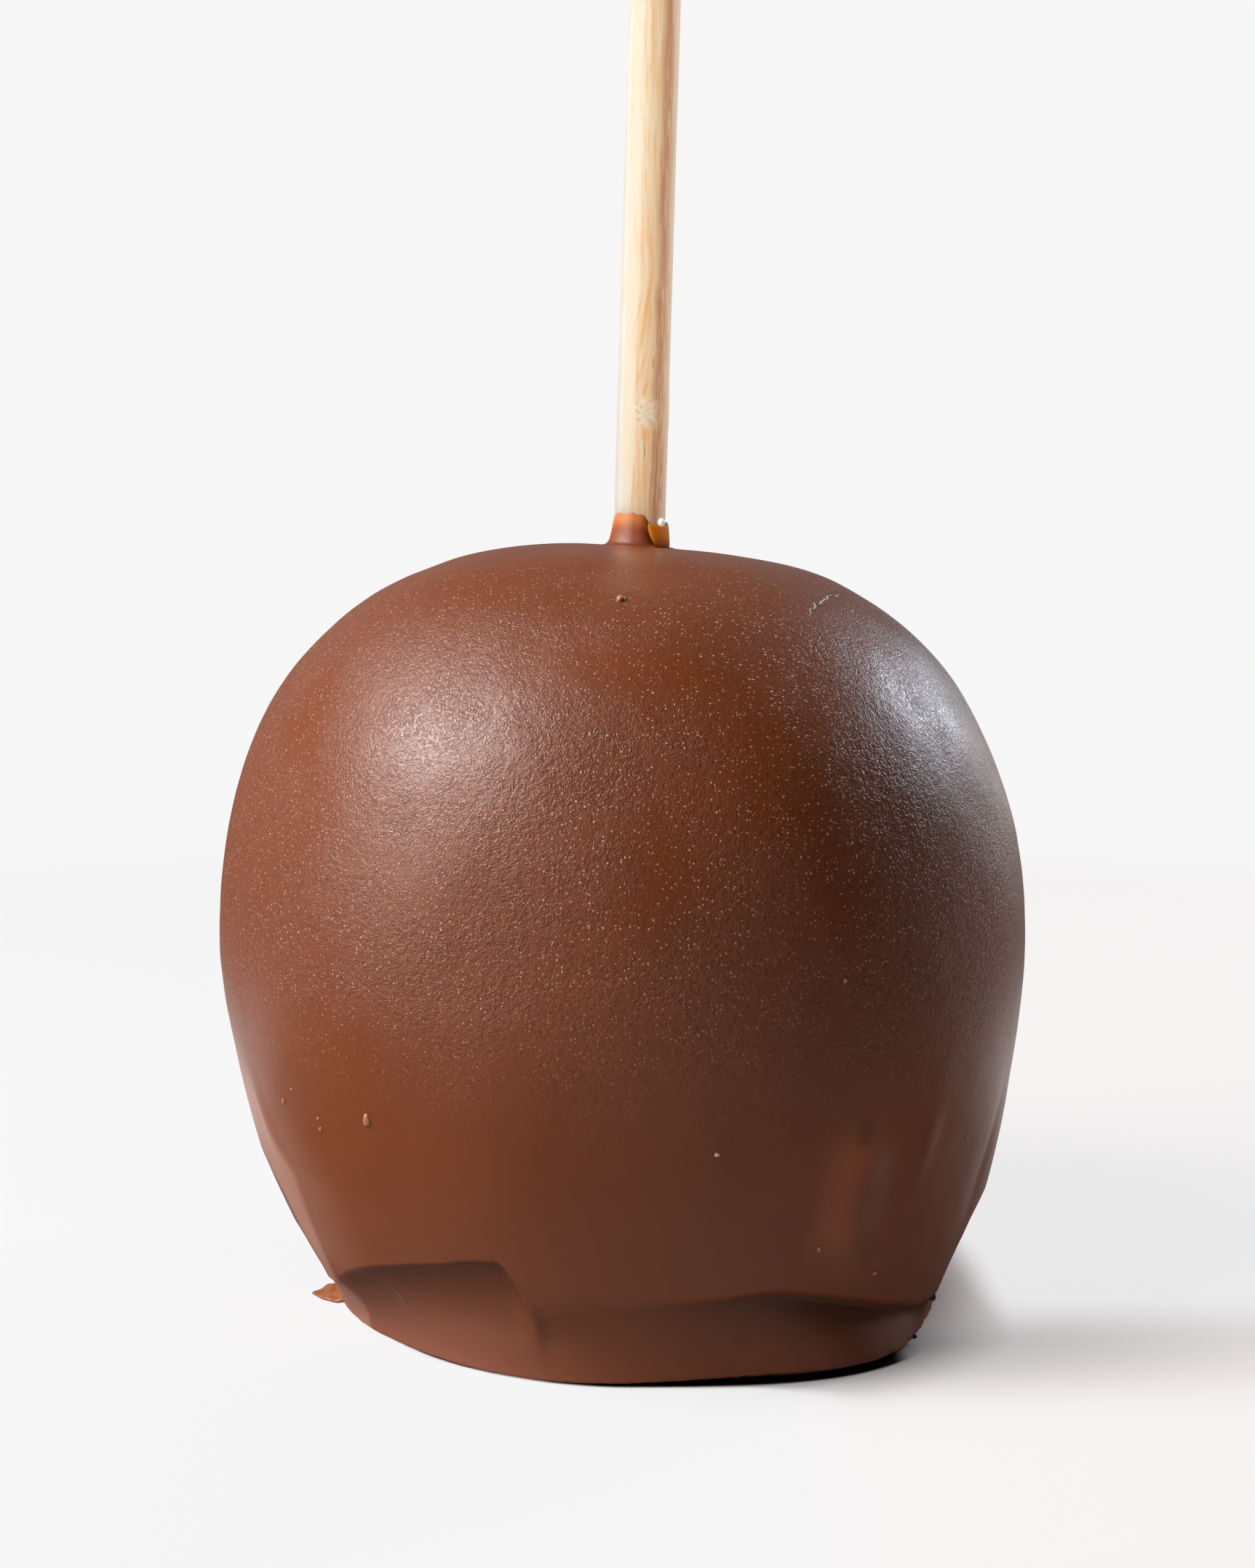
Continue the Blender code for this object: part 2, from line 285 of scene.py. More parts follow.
coat = {
    "columns": 400,
    "frontCrowding": 0.35,  # columns stand closer together at the front
    "wallRows": 40,
    "lipRows": 12,
    "bodyRows": 66,
    "bodyCrowding": 1.1,  # above 1, these rows stand closer together near the lip
    "domeRows": 92,
    "sleeveRows": 18,
    "beltRadius": 46.6,
    "beltHeight": 42.0,
    "domeHeight": 45.15,
    "domeTilt": 0.36,  # the left shoulder stands a little higher
    "tiltReach": 8.0,
    "domePower": (2.135, -0.075),  # mean and sway towards the right
    "beltPower": 2.715,
    "taperPower": 1.73,
    "taper": (10.44, -1.745, -0.9, -0.86),  # mean, side, front and oval sways
    "lobes": (5, 0.3),
    "dimple": (0.3, 4.5),  # depth and radius
    "sag": (14.0, 10.0, 0.3),  # a flatter place right of the stick: how far off, radius, depth
    "foot": (35.0, 2.0, 330.0),  # radius, sway and its direction
    "footCorners": ((311.0, 18.0, 3.8), (228.0, 21.0, -1.0)),
    "contactInset": 3.0,  # how far in from the rim the foot touches down
    "lift": 0.12,
    "leastLift": 0.06,
    "curl": (300.0, 30.0, 1.0),  # direction, width, reach
    "rimCurl": ((1.6, 0.3), (0.5, 0.8), (0.15, 1.0)),  # distance from the rim, share of lift
    "rimThickness": 0.35,
    "wallPower": 2.6,
    "wallChanges": ((318.0, 20.0, -1.5), (204.0, 9.0, -1.5)),  # direction, width, change of power
    "wallRidges": ((254.4, 1.8, 0.26), (258.2, 2.4, -0.12)),  # direction, width, reach
    "tearFade": 14.0,
    # lip of the coat over the foot: angle, height, overhang, softness
    "lip": (
        (0.0, 4.2, 0.2, 1.6), (60.0, 7.5, 0.5, 1.4), (130.0, 9.5, 0.6, 1.2),
        (190.0, 6.8, 0.1, 1.2), (211.5, 6.0, 0.0, 0.8), (215.5, 6.9, 0.35, 0.7),
        (219.0, 8.1, 0.6, 0.7), (226.0, 9.9, 0.65, 0.7), (234.0, 11.3, 0.65, 0.7),
        (241.0, 12.3, 0.65, 0.7), (248.0, 13.4, 0.7, 0.8), (251.4, 13.6, 0.7, 0.9),
        (254.0, 11.0, 0.6, 1.0), (256.4, 7.8, 0.3, 1.4), (260.0, 8.4, 0.12, 1.8),
        (268.0, 9.1, 0.2, 1.8), (280.0, 9.3, 0.5, 1.6), (292.0, 9.5, 0.9, 1.6),
        (301.0, 8.3, 1.0, 1.6), (309.0, 6.9, 0.95, 1.6), (318.0, 5.2, 0.8, 1.3),
        (328.0, 3.4, 0.4, 1.0), (342.0, 3.6, 0.3, 1.2),
    ),
    "lipShade": 3.2,  # how far down the wall the painted shade under the lip reaches
    # a painted sheen up the left edge, where the lower flank gives back the pale floor
    "paintedSheen": (213.0, 19.0, 1.0, 26.0, 36.0),  # angle, knee, slope above it, width, top
    "flats": ((344.5, 36.5, 0.433), (197.8, 34.1, 0.437)),
    # angle, height, half width, half length, slant, depth
    "folds": (
        (306.0, 22.0, 3.4, 7.0, 0.0, -0.6), (315.0, 23.0, 1.8, 6.0, 0.3, 0.3),
        (338.0, 20.0, 1.6, 6.0, 0.3, -0.3), (209.0, 21.0, 1.9, 7.5, -0.42, 0.35),
        (255.0, 8.0, 1.5, 4.5, -0.9, 0.5), (314.0, 3.5, 8.5, 4.5, 0.0, 1.2),
    ),
    "waves": ((11, 24, 14.0, 40.0, 0.1), (12, 30, 3.5, 9.0, 0.012)),
    "rag": (0.08, 0.9, 4.5),  # the rim's ragged edge: reach, shortest and longest wave
    "leastRag": 0.25,
    "moreRag": (315.0, 30.0, 0.75),
    "calm": (1.0, 5.0, 84.0, 86.0),  # the waves rise and fade between these heights
    # sleeve up the stick: angle, height
    "sleeve": (
        (106.0, 0.1), (124.0, 2.2), (160.0, 2.7), (184.0, 2.9), (200.0, 3.3), (214.0, 3.75),
        (240.0, 3.65), (254.0, 3.85), (264.0, 3.65), (274.0, 3.7), (284.0, 3.3), (290.0, 2.7),
        (296.0, 1.75), (301.0, 0.95), (305.0, 0.3), (310.0, 0.1),
    ),
    "sleeveReach": 4.2,
    "sleeveFlare": 0.3,
    "sleeveFall": 1.1,  # power of its falling off round the stick
    "sleeveWall": 0.07,
    "socketGap": 0.015,
    "socketDepth": 65.3,
    # scales of the patterns, per metre
    "scale": {"patch": 70.0, "worm": 2600.0, "crowd": 420.0, "pebble": 1500.0, "speck": 2250.0,
              "cluster": 130.0, "cloud": 40.0},
    "speckSize": (0.07, 0.31),  # least, and how much chance adds
    "wrinkled": (22.0, 46.0, 78.0, 86.0),  # wrinkles rise and fade between these heights
    "specked": (24.0, 54.0, 83.0, 87.0),
    "relief": 0.000034,
    "roughness": 0.33,
    "dark": (0.163, 0.0348, 0.0066),
    "light": (0.18, 0.0392, 0.008),
    "thin": (0.29, 0.06, 0.016),
    # what lies over the brown: its share and its colour
    "dusty": (0.1, (0.17, 0.06, 0.04)),
    # painted highlight on the wrinkles' ridges and on the pebbles, painted shade in the gaps
    "wrinkle": (0.25, (0.26, 0.09, 0.05)),
    "gap": (0.33, (0.05, 0.012, 0.004)),
    "pebble": (0.14, (0.26, 0.09, 0.05)),
    "warm": (0.25, (0.17, 0.035, 0.001)),
    "paleLowLeft": (0.4, (0.24, 0.085, 0.055)),
    # painted shade under the lip
    "paintedShadeUnderLip": (0.66, (0.05, 0.012, 0.004)),
    "paintedSheenTone": (0.62, (0.42, 0.21, 0.15)),
    "crimson": (0.8, (0.16, 0.026, 0.006)),
    "fringe": (0.8, (0.72, 0.22, 0.045)),
    "speck": (0.68, (0.6, 0.31, 0.18)),
    "red": (1.0, (0.3, 0.065, 0.012)),
    "grey": (1.0, (0.3, 0.15, 0.11)),
    "umber": (1.0, (0.05, 0.012, 0.004)),
    # marks on the front: x and z of both ends, half width, share
    # painted light on a facet in the right dent
    "redStains": (
        (21.7, 14.5, 23.8, 27.0, 3.6, 0.7), (24.2, 10.5, 23.4, 17.5, 3.0, 0.25),
    ),
    # the first two are a painted sheen on the right flank, the rest pale wisps of bloom low on the
    # left
    "greyStains": (
        (25.7, 16.0, 27.4, 25.0, 1.6, 0.2), (37.2, 12.0, 39.4, 21.5, 1.4, 0.3),
        (-26.8, 8.3, -25.3, 7.3, 0.3, 0.25), (-25.3, 7.5, -23.9, 6.1, 0.3, 0.25),
        (-24.2, 6.5, -23.4, 4.6, 0.3, 0.2), (-25.6, 8.6, -23.6, 7.3, 0.25, 0.2),
    ),
    # painted shade in the right dent
    "umberStains": (
        (24.7, 25.8, 24.9, 29.0, 1.3, 0.35), (24.6, 11.0, 26.0, 22.0, 2.2, 0.18),
    ),
}


def beltRadius(theta, z):
    # the belt less five faint lobes, which fade towards the foot and the four sides
    count, depth = coat["lobes"]
    lobes = 0.5 * (1.0 - np.sin(count * theta)) * np.sin(2.0 * theta)**2
    return coat["beltRadius"] - depth * lobes * z / coat["beltHeight"]


def flankRadius(theta, z):
    # belt less draw * depth^power, plus gaussian folds, cut by the slanted flats
    mean, side, front, oval = coat["taper"]
    draw = mean + side * np.cos(theta) + front * np.sin(theta) + oval * np.cos(2.0 * theta)
    depth = np.clip((coat["beltHeight"] - z) / coat["beltHeight"], 0.0, 1.0)
    radius = beltRadius(theta, z) - draw * depth**coat["taperPower"]
    for angle, height, halfWidth, halfLength, slant, reach in coat["folds"]:
        off = turnFrom(theta, angle + slant * (z - height))
        across = np.radians(off) * coat["beltRadius"] / halfWidth
        radius = radius + reach * np.exp(-across**2 - ((z - height) / halfLength)**2)
    for direction, distance, flare in coat["flats"]:
        facing = np.maximum(np.cos(np.radians(turnFrom(theta, direction))), 0.1)
        radius = np.minimum(radius, (distance + flare * z) / facing)
    return radius


def crownHeight(x, y):
    # superellipse dome over the belt, tilted a little, less a gaussian dimple round the stick and
    # a gaussian sag beside it
    radius, theta = np.hypot(x, y), np.arctan2(y, x)
    power = coat["domePower"][0] + coat["domePower"][1] * np.cos(theta)
    share = np.clip(radius / beltRadius(theta, coat["beltHeight"]), 0.0, 1.0)
    rise = (1.0 - share**coat["beltPower"]) ** (1.0 / power)
    tilt = coat["domeTilt"] * np.cos(theta) * np.tanh(radius / coat["tiltReach"])
    depth, reach = coat["dimple"]
    dimple = depth * np.exp(-((x - stick["x"])**2 + y**2) / reach**2)
    off, reach, depth = coat["sag"]
    sag = depth * np.exp(-((x - off)**2 + y**2) / reach**2)
    return coat["beltHeight"] + (coat["domeHeight"] - tilt) * rise - dimple - sag


def leanAt(z):
    # how far the stick's middle has moved to the right at a height, for numbers and for wires
    return (z - stick["shoulder"]) * stick["lean"]


def polar(theta, radius, z, centre=0.0):
    # rows of rings: centre + radius at each angle, at height z
    radius, z, centre = (np.broadcast_to(v, theta.shape) for v in (radius, z, centre))
    return np.stack((centre + radius * np.cos(theta), radius * np.sin(theta), z), -1)


def footRows(theta):
    # flat underside, curled rim, then a wall: rim + (top - rim) * share^power up to the lip;
    # the rim's tears fade as e^(-share * fade)
    size, sway, direction = coat["foot"]
    even = size + sway * np.cos(np.radians(turnFrom(theta, direction)))
    even = even + humps(theta, *coat["footCorners"])
    reach, shortest, longest = coat["rag"]
    torn = reach * (coat["leastRag"] + humps(theta, coat["moreRag"]))
    ring = polar(theta, even, 0.0)
    rim = even + torn * ripples(ring, 5, 24, shortest, longest)
    low = coat["lift"] + humps(theta, coat["curl"])
    low = low + 0.4 * torn * ripples(ring, 6, 24, shortest, longest)
    low = np.maximum(low, coat["leastLift"])
    thick = coat["rimThickness"]
    rows = [polar(theta, even - coat["contactInset"], 0.0)]
    rows += [polar(theta, rim - inset, share * low) for inset, share in coat["rimCurl"]]
    rows.append(polar(theta, rim, low + 0.25 * thick))
    shades = [0.0 * theta] * len(rows)
    lip, over = aroundCircle(theta, coat["lip"], 1), aroundCircle(theta, coat["lip"], 2)
    top = flankRadius(theta, lip) - over
    start = low + 0.7 * thick
    power = coat["wallPower"] + humps(theta, *coat["wallChanges"])
    ridge = humps(theta, *coat["wallRidges"])
    for share in np.linspace(0.0, 1.0, coat["wallRows"]):
        # painted shade down the wall, deepest just below the lip
        shades.append(over * np.exp(-(lip - start) * (1.0 - share) / coat["lipShade"]))
        wall = even + (top - even) * share**power + ridge * np.sin(np.pi * share**2)
        wall = wall + (rim - even) * np.exp(-share * coat["tearFade"])
        rows.append(polar(theta, wall, start + (lip - start) * share))
    return rows, shades


def bodyRows(theta):
    # the overhang dies away by smoothstep above the lip, then the flank climbs to the belt
    lip, over, soft = (aroundCircle(theta, coat["lip"], column) for column in (1, 2, 3))
    rows, shades = [], []
    for share in np.linspace(0.0, 1.0, coat["lipRows"] + 1)[1:]:
        z = lip + soft * share
        inward = over * (1.0 - smoothstep(0.0, 1.0, share))
        rows.append(polar(theta, flankRadius(theta, z) - inward, z))
        # painted shade on the lip's underside, as deep as its overhang
        shades.append(inward)
    low = lip + soft
    for share in np.linspace(0.0, 1.0, coat["bodyRows"] + 1)[1:-1]:
        z = low + (coat["beltHeight"] - low) * share**coat["bodyCrowding"]
        rows.append(polar(theta, flankRadius(theta, z), z))
    return rows, shades


def domeRows(theta):
    # plan radius belt * cos(rise)^(2 / power), drawn in towards the stick as it climbs
    last = stick["radius"] + coat["sleeveReach"]
    steepest = np.arccos((last / coat["beltRadius"])**(coat["beltPower"] / 2.0))
    rows = []
    for rise in np.linspace(0.0, steepest, coat["domeRows"], endpoint=False):
        radius = beltRadius(theta, coat["beltHeight"]) * np.cos(rise)**(2.0 / coat["beltPower"])
        centre = stick["x"] * (1.0 - smoothstep(last, 0.75 * coat["beltRadius"], radius))
        x, y = centre + radius * np.cos(theta), radius * np.sin(theta)
        rows.append(np.stack((x, y, crownHeight(x, y)), -1))
    return rows


def sleeveRows(theta):
    # height falls off as e^-(distance from the stick / flare)^fall, then down the socket
    tall = aroundCircle(theta, coat["sleeve"], 1)
    hug = stick["radius"] + coat["sleeveWall"]
    rows, shares = [], []
    for share in np.linspace(0.0, 1.0, coat["sleeveRows"]):
        distance = hug + (coat["sleeveReach"] - coat["sleeveWall"]) * (1.0 - share)**3
        climb = np.exp(-((distance - hug) / coat["sleeveFlare"])**coat["sleeveFall"])
        x, y = stick["x"] + distance * np.cos(theta), distance * np.sin(theta)
        z = crownHeight(x, y) + tall * climb
        rows.append(np.stack((x + leanAt(z), y, z), -1))
        shares.append(climb * np.minimum(tall, 1.0))
    bore = stick["radius"] + coat["socketGap"]
    top = rows[-1][..., 2] + 0.02
    for z in (top, top - 1.0, np.full_like(top, stick["shoulder"] - coat["socketDepth"])):
        centre = stick["x"] + leanAt(z)
        rows.append(polar(theta, bore, z, centre))
        shares.append(np.minimum(tall, 1.0))
    return rows, shares


def coatGrid():
    # rings of points from under the foot up to the sleeve and down the socket, and each vertex's
    # share of sleeve, painted shade under the lip and painted sheen for the material
    spread = fullTurn(coat["columns"])
    theta = spread - coat["frontCrowding"] * np.cos(spread)
    foot, underneath = footRows(theta)
    body, lipShades = bodyRows(theta)
    lower = foot + body + domeRows(theta)
    shades = underneath + lipShades
    upper, shares = sleeveRows(theta)
    points = np.array(lower + upper)
    sleeve, shade = np.zeros((2, *points.shape[:2]))
    sleeve[len(lower):] = shares
    shade[:len(shades)] = shades
    z = points[..., 2]
    paintedSheen = paintedSheenShares(theta, z)
    # soft waves of the set chocolate, along the surface's own normal
    normals = gridNormals(points)
    low, full, fading, gone = coat["calm"]
    calm = smoothstep(low, full, z) * (1.0 - smoothstep(fading, gone, z))
    for seed, count, shortest, longest, height in coat["waves"]:
        relief = ripples(points, seed, count, shortest, longest) * height * calm
        points = points + normals * relief[..., None]
    return points, {"sleeve": sleeve, "shade": shade, "paintedSheen": paintedSheen}


def paintedSheenShares(theta, z):
    # a painted sheen up the left edge, where the lower flank gives back the pale floor: sharp along
    # a line that leans back above its knee, with a faint wide blush to the right of it
    angle, knee, slope, width, top = coat["paintedSheen"]
    off = turnFrom(theta, angle) + slope * np.maximum(z - knee, 0.0)
    sharp = 1.0 - smoothstep(-1.4, 0.8, off)
    blush = (1.0 - smoothstep(-2.0, 16.0, off)) * smoothstep(7.0, 11.0, z)
    within = smoothstep(-width, 0.3 * -width, off) * (1.0 - smoothstep(0.6 * top, top, z))
    return (0.65 * sharp + 0.35 * blush) * within


def chocolate():
    graph = Graph(bpy.data.materials.new("milk chocolate"))
    place = graph.place()
    x, y, z = graph.split(place)
    scale = coat["scale"]
    # fine worm-like wrinkles over the upper two thirds, smooth near the top and the foot
    patch = graph.noise(place, scale["patch"], 2.0)
    zone = z.within(*coat["wrinkled"]) * (0.4 + 0.6 * patch.rise(0.3, 0.55))
    worms = graph.noise(place, scale["worm"], 1.0, 0.5, 0.5)
    crowd = 0.6 + 0.4 * graph.noise(place, scale["crowd"], 1.0).rise(0.35, 0.65)
    gaps = abs(worms - 0.5).rise(0.0, 0.15) * zone * crowd
    wrinkles = zone * crowd - gaps
    # coarser pebbles under the wrinkles
    pebbles = graph.noise(place, scale["pebble"], 2.0, 0.7).rise(0.38, 0.6) * zone
    # specks of dried bloom in clusters, each cell with a size of its own
    cells = graph.add("TexVoronoi", sockets={"Vector": place, "Scale": scale["speck"]})
    chance = graph.add("SeparateColor", sockets={0: cells.sibling("Color")})
    least, more = coat["speckSize"]
    clusters = 0.6 + 0.4 * graph.noise(place, scale["cluster"], 2.0).rise(0.42, 0.55)
    specks = (cells / (least + more * chance)).fall(0.5, 1.0)
    specks = specks * z.within(*coat["specked"]) * clusters
    shade, paintedSheen, sleeve = (graph.add("Attribute", {"attribute_name": name}, output="Fac")
                            for name in ("shade", "paintedSheen", "sleeve"))
    # colour: a warm brown, faintly uneven and dusty, warmer towards the foot and paler low on the
    # foot's left
    cloud = graph.noise(place, scale["cloud"], 3.0)
    base = graph.mix(cloud.rise(0.3, 0.7), coat["dark"], coat["light"])
    paleLowLeft = z.fall(3.0, 11.0) * x.fall(-22.0, 0.0)
    # the wrinkle and pebble layers are painted highlight on the relief, the gap layer is painted
    # shade
    layers = [("dusty", zone), ("wrinkle", wrinkles), ("gap", gaps), ("pebble", pebbles),
              ("warm", z.fall(4.0, 40.0)), ("paleLowLeft", paleLowLeft)]
    front = y.fall(-8.0, 0.0)
    # red marks are painted light, umber marks painted shade, grey marks partly painted sheen and
    # partly bloom
    for tone in ("red", "grey", "umber"):
        for *ends, share in coat[tone + "Stains"]:
            layers.append((tone, graph.streak(x, z, *ends) * front * share))
    # painted shade under the lip, and a painted sheen up the left edge
    layers += [("paintedShadeUnderLip", (shade * 1.3).smallest(1.0)), ("paintedSheenTone", paintedSheen)]
    base = graph.cover(base, coat, layers)
    # orange up the sleeve, palest on the specks
    thin = graph.cover(coat["thin"], coat, [("crimson", x.rise(1.6, 4.6))])
    base = graph.mix(sleeve.rise(0.03, 0.4) * 0.9, base, thin)
    base = graph.cover(base, coat, [("fringe", sleeve.rise(0.45, 0.95)), ("speck", specks)])
    relief = graph.bump(wrinkles * 0.75 + specks * 1.5 + pebbles * 0.75, coat["relief"])
    # matter towards the foot, on the sleeve and between the wrinkles
    matte = 0.27 * z.fall(8.0, 30.0) + 0.2 * sleeve.rise(0.0, 0.2)
    matte = matte + 0.17 * zone - 0.2 * wrinkles
    return graph.finish({"Base Color": base, "Roughness": coat["roughness"] + matte,
                         "Normal": relief})


# the coat and the caramel read the stick's radius, place and lean from here too
stick = {
    "rings": 440,
    "sides": 120,
    "radius": 3.0,
    "topRadius": 2.88,
    "length": 150.0,
    "depth": 65.0,  # how far it goes in below the shoulder
    "lean": 0.029,  # sideways for each unit of height
    "x": 1.87,  # where its middle is at the shoulder's height
    "shoulder": 87.0,
    "buriedRing": 60.0,
    "firstRing": 84.0,  # fine rings from here up
    "free": (90.0, 93.0),  # the fibres stand out above the sleeve
    "knot": (102.0, 2.2, 0.05),  # height, half length, swell
    "endBevel": 0.35,
    "fibres": (31, 60, 0.45, 1.6, 0.02),  # seed, count, shortest, longest, height
    "fibreStretch": 26.0,
    # torn fibres at the knot: angle, height, half width, half length, swell
    "lumps": (
        (277.0, 103.1, 0.34, 0.42, 0.22), (291.0, 102.9, 0.3, 0.55, 0.22),
        (267.0, 101.6, 0.36, 0.34, 0.2), (280.0, 100.7, 0.32, 0.36, 0.22),
        (294.0, 101.3, 0.26, 0.42, 0.18), (253.0, 102.2, 0.34, 0.5, 0.1),
        (271.0, 102.6, 0.22, 0.22, -0.06), (285.0, 101.8, 0.2, 0.2, -0.07),
        (260.0, 101.4, 0.22, 0.26, -0.05), (305.0, 102.4, 0.3, 0.5, 0.08),
        (238.0, 101.6, 0.4, 0.6, 0.05), (330.0, 101.9, 0.4, 0.5, 0.06),
        (20.0, 102.3, 0.45, 0.55, 0.08), (60.0, 101.7, 0.4, 0.5, 0.1),
        (90.0, 102.4, 0.45, 0.4, 0.12), (125.0, 101.8, 0.4, 0.55, 0.09),
    ),
    "cream": (0.92, 0.8, 0.69),
    "peach": (0.92, 0.64, 0.42),
    "tan": (0.86, 0.56, 0.36),
    "brown": (0.5, 0.26, 0.14),
    "orange": (0.88, 0.47, 0.2),
    "umber": (0.58, 0.34, 0.19),
    # bands of colour up the front: left, right, soft edge
    "warmBand": (-1.1, 0.9, 0.7),
    "tanBand": (0.9, 4.0, 0.35),
    "brownBand": (1.2, 2.4, 0.5),
    # where the knot is torn: low, high, soft edge, then left, right, soft edge
    "knotBand": (100.4, 103.4, 0.6),
    "knotMiddle": (-1.0, 1.7, 0.5),
    # coloured fibres on the front: x and z of both ends, half width, share
    "orangeFibres": (
        (0.55, 117.2, -0.55, 109.0, 0.42, 0.75), (-0.35, 115.3, -1.45, 110.6, 0.16, 0.5),
        (0.0, 108.3, -0.6, 105.5, 0.3, 0.6), (0.45, 105.4, 0.0, 103.9, 0.26, 0.9),
        (0.1, 100.2, 0.25, 98.9, 0.55, 0.8), (-0.75, 96.0, -0.9, 87.0, 0.14, 0.5),
        (-0.1, 95.5, -0.15, 87.0, 0.35, 0.55), (0.5, 94.0, 0.55, 87.0, 0.14, 0.7),
    ),
    "umberFibres": (
        (1.65, 114.8, 1.6, 112.6, 0.16, 0.9), (1.3, 112.0, 1.25, 109.4, 0.2, 0.7),
        (0.95, 108.2, 1.0, 107.0, 0.16, 0.8), (0.22, 98.6, 0.32, 97.0, 0.1, 0.9),
        (1.35, 100.6, 1.1, 93.0, 0.22, 0.7), (1.75, 97.0, 1.5, 89.0, 0.2, 0.6),
        (1.5, 105.0, 1.9, 99.0, 0.24, 0.5), (0.05, 97.5, 0.1, 96.2, 0.07, 0.6),
    ),
    "roughness": 0.6,
    "relief": 0.00006,
}


def stickGrid():
    # a tapering round with a gaussian swelling at the knot, long fine fibres and the knot's lumps
    bottom = stick["shoulder"] - stick["depth"]
    top = bottom + stick["length"]
    ease = stick["endBevel"]
    z = np.concatenate(([bottom, bottom + ease, stick["buriedRing"]],
                        np.linspace(stick["firstRing"], top - ease, stick["rings"]),
                        [top - 0.3 * ease, top]))
    share = (z - bottom) / stick["length"]
    radius = stick["radius"] + (stick["topRadius"] - stick["radius"]) * share
    level, halfLength, swell = stick["knot"]
    radius = radius + swell * np.exp(-((z - level) / halfLength)**2)
    radius[0] -= ease
    radius[-2] -= 0.3 * ease
    radius[-1] -= ease
    theta = fullTurn(stick["sides"])
    centre = stick["x"] + leanAt(z)
    theta, radius, z, centre = (np.broadcast_to(v, (len(share), len(theta)))
                                for v in (theta, radius[:, None], z[:, None], centre[:, None]))
    upright = polar(theta, radius, z)
    seed, count, shortest, longest, height = stick["fibres"]
    grain = ripples(upright, seed, count, shortest, longest, (1.0, 1.0, stick["fibreStretch"]))
    relief = grain * height * smoothstep(*stick["free"], z)
    for angle, level, halfWidth, halfLength, swell in stick["lumps"]:
        across = np.radians(turnFrom(theta, angle)) * stick["radius"] / halfWidth
        relief = relief + swell * np.exp(-across**2 - ((z - level) / halfLength)**2)
    return polar(theta, radius + relief, z, centre)


def bamboo():
    graph = Graph(bpy.data.materials.new("bamboo"))
    place = graph.place()
    x, y, z = graph.split(place)
    # straighten the lean, then let the grain wander, most of all round the knot
    x = x - leanAt(z) - stick["x"]
    sway = graph.noise(graph.join(x * 0.3, y * 0.3, z * 0.2), 1.0, 2.0) - 0.5
    across = x + sway * (1.5 - 1.0 * z.rise(116.0, 128.0))
    # above the knot the fibres lean over to the right
    lean = z.rise(101.0, 119.0) * 1.2 * z.fall(119.0, 140.0)
    fine = graph.noise(graph.join(across - lean, y, z * 0.045), 3.4, 3.0, 0.6)
    broad = graph.noise(graph.join(across, y, z * 0.012), 0.9, 1.0)
    front = y.fall(-0.6, 1.4)
    # on the front, bands of colour run up the right half; the tan and brown ones are partly real
    # stripes and partly painted shade on the side away from the key light
    warm, tan, brown = (across.band(*stick[name + "Band"]) * front
                        for name in ("warm", "tan", "brown"))
    brown = brown * (0.75 + 0.25 * z.fall(98.0, 106.0))
    base = stick["cream"]
    for share, tone in ((broad.rise(0.42, 0.62) * 0.5, "peach"),
                        (warm * 0.55, "peach"),
                        (warm * fine.rise(0.46, 0.62) * 0.6, "orange"),
                        (tan * 0.8, "tan"),
                        (brown * fine.rise(0.3, 0.6), "brown"),
                        (fine.rise(0.55, 0.72) * 0.4, "tan")):
        base = graph.mix(share, base, stick[tone])
    for tone in ("orange", "umber"):
        for *ends, share in stick[tone + "Fibres"]:
            fibre = graph.streak(x + sway * 0.5 + (fine - 0.5) * 0.5, z, *ends)
            base = graph.mix(fibre * front * share, base, stick[tone])
    # the knot's torn fibres are pale, with pits between whose orange and umber are painted shade
    knot = z.band(*stick["knotBand"])
    pits = graph.noise(place, 2000.0, 1.0)
    middle = x.band(*stick["knotMiddle"]) * front * knot
    for share, tone in ((middle * 0.65, "cream"),
                        (middle * pits.rise(0.4, 0.66) * 0.5, "orange"),
                        (middle * pits.rise(0.55, 0.75) * 0.5, "umber")):
        base = graph.mix(share, base, stick[tone])
    relief = graph.bump(fine + pits * knot * 0.4, stick["relief"], 0.6)
    return graph.finish({"Base Color": base, "Roughness": stick["roughness"], "Normal": relief,
                         "Specular IOR Level": 0.25, "Subsurface Weight": 0.9,
                         "Subsurface Radius": (1.0, 0.85, 0.7), "Subsurface Scale": 0.009})


bead = {
    "steps": 72,
    "around": 20,
    "start": (-62.0, -80.0),  # angle at the base and at the top
    "end": 100.0,
    "height": 2.95,
    "wall": (0.62, 0.34),  # thickness at the base and at the top
    "amber": ((0.5, 0.14, 0.008), (0.6, 0.19, 0.014)),
    "dark": (0.15, 0.026, 0.006),
    "clears": (86.4, 88.4),  # dark below the first height, amber above the second
}


